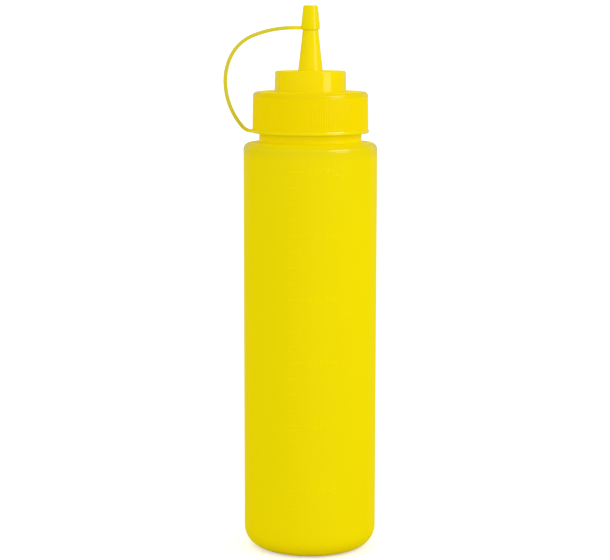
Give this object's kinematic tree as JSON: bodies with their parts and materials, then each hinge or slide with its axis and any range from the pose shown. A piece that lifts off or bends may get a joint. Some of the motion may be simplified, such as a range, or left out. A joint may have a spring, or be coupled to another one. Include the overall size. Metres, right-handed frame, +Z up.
{
  "type": "squeeze bottle",
  "caption": "Closed yellow sauce squeeze bottle with a ribbed screw cap, tapered nozzle and a tip cap tethered by a curved strap.",
  "frame": {"origin": "on the bottle's axis, in the plane of the flat ring it stands on", "axes": "+Z up along the bottle's axis to the nozzle's tip; -Y is the front, which carries the graduation; the strap hangs out on the -X side"},
  "size_m": [0.0757, 0.066, 0.2701],
  "materials": {
    "bottle_plastic": "soft satin low-density polyethylene, opaque yellow",
    "cap_plastic": "smooth moulded polyethylene with a low gloss, opaque yellow",
    "tether_plastic": "smooth soft polyethylene, opaque yellow, a little see-through where thin"
  },
  "bodies": {
    "root": {"bottle": "bottle_plastic", "screw_cap": "cap_plastic", "tip_cap": "tether_plastic"}
  },
  "joints": []
}
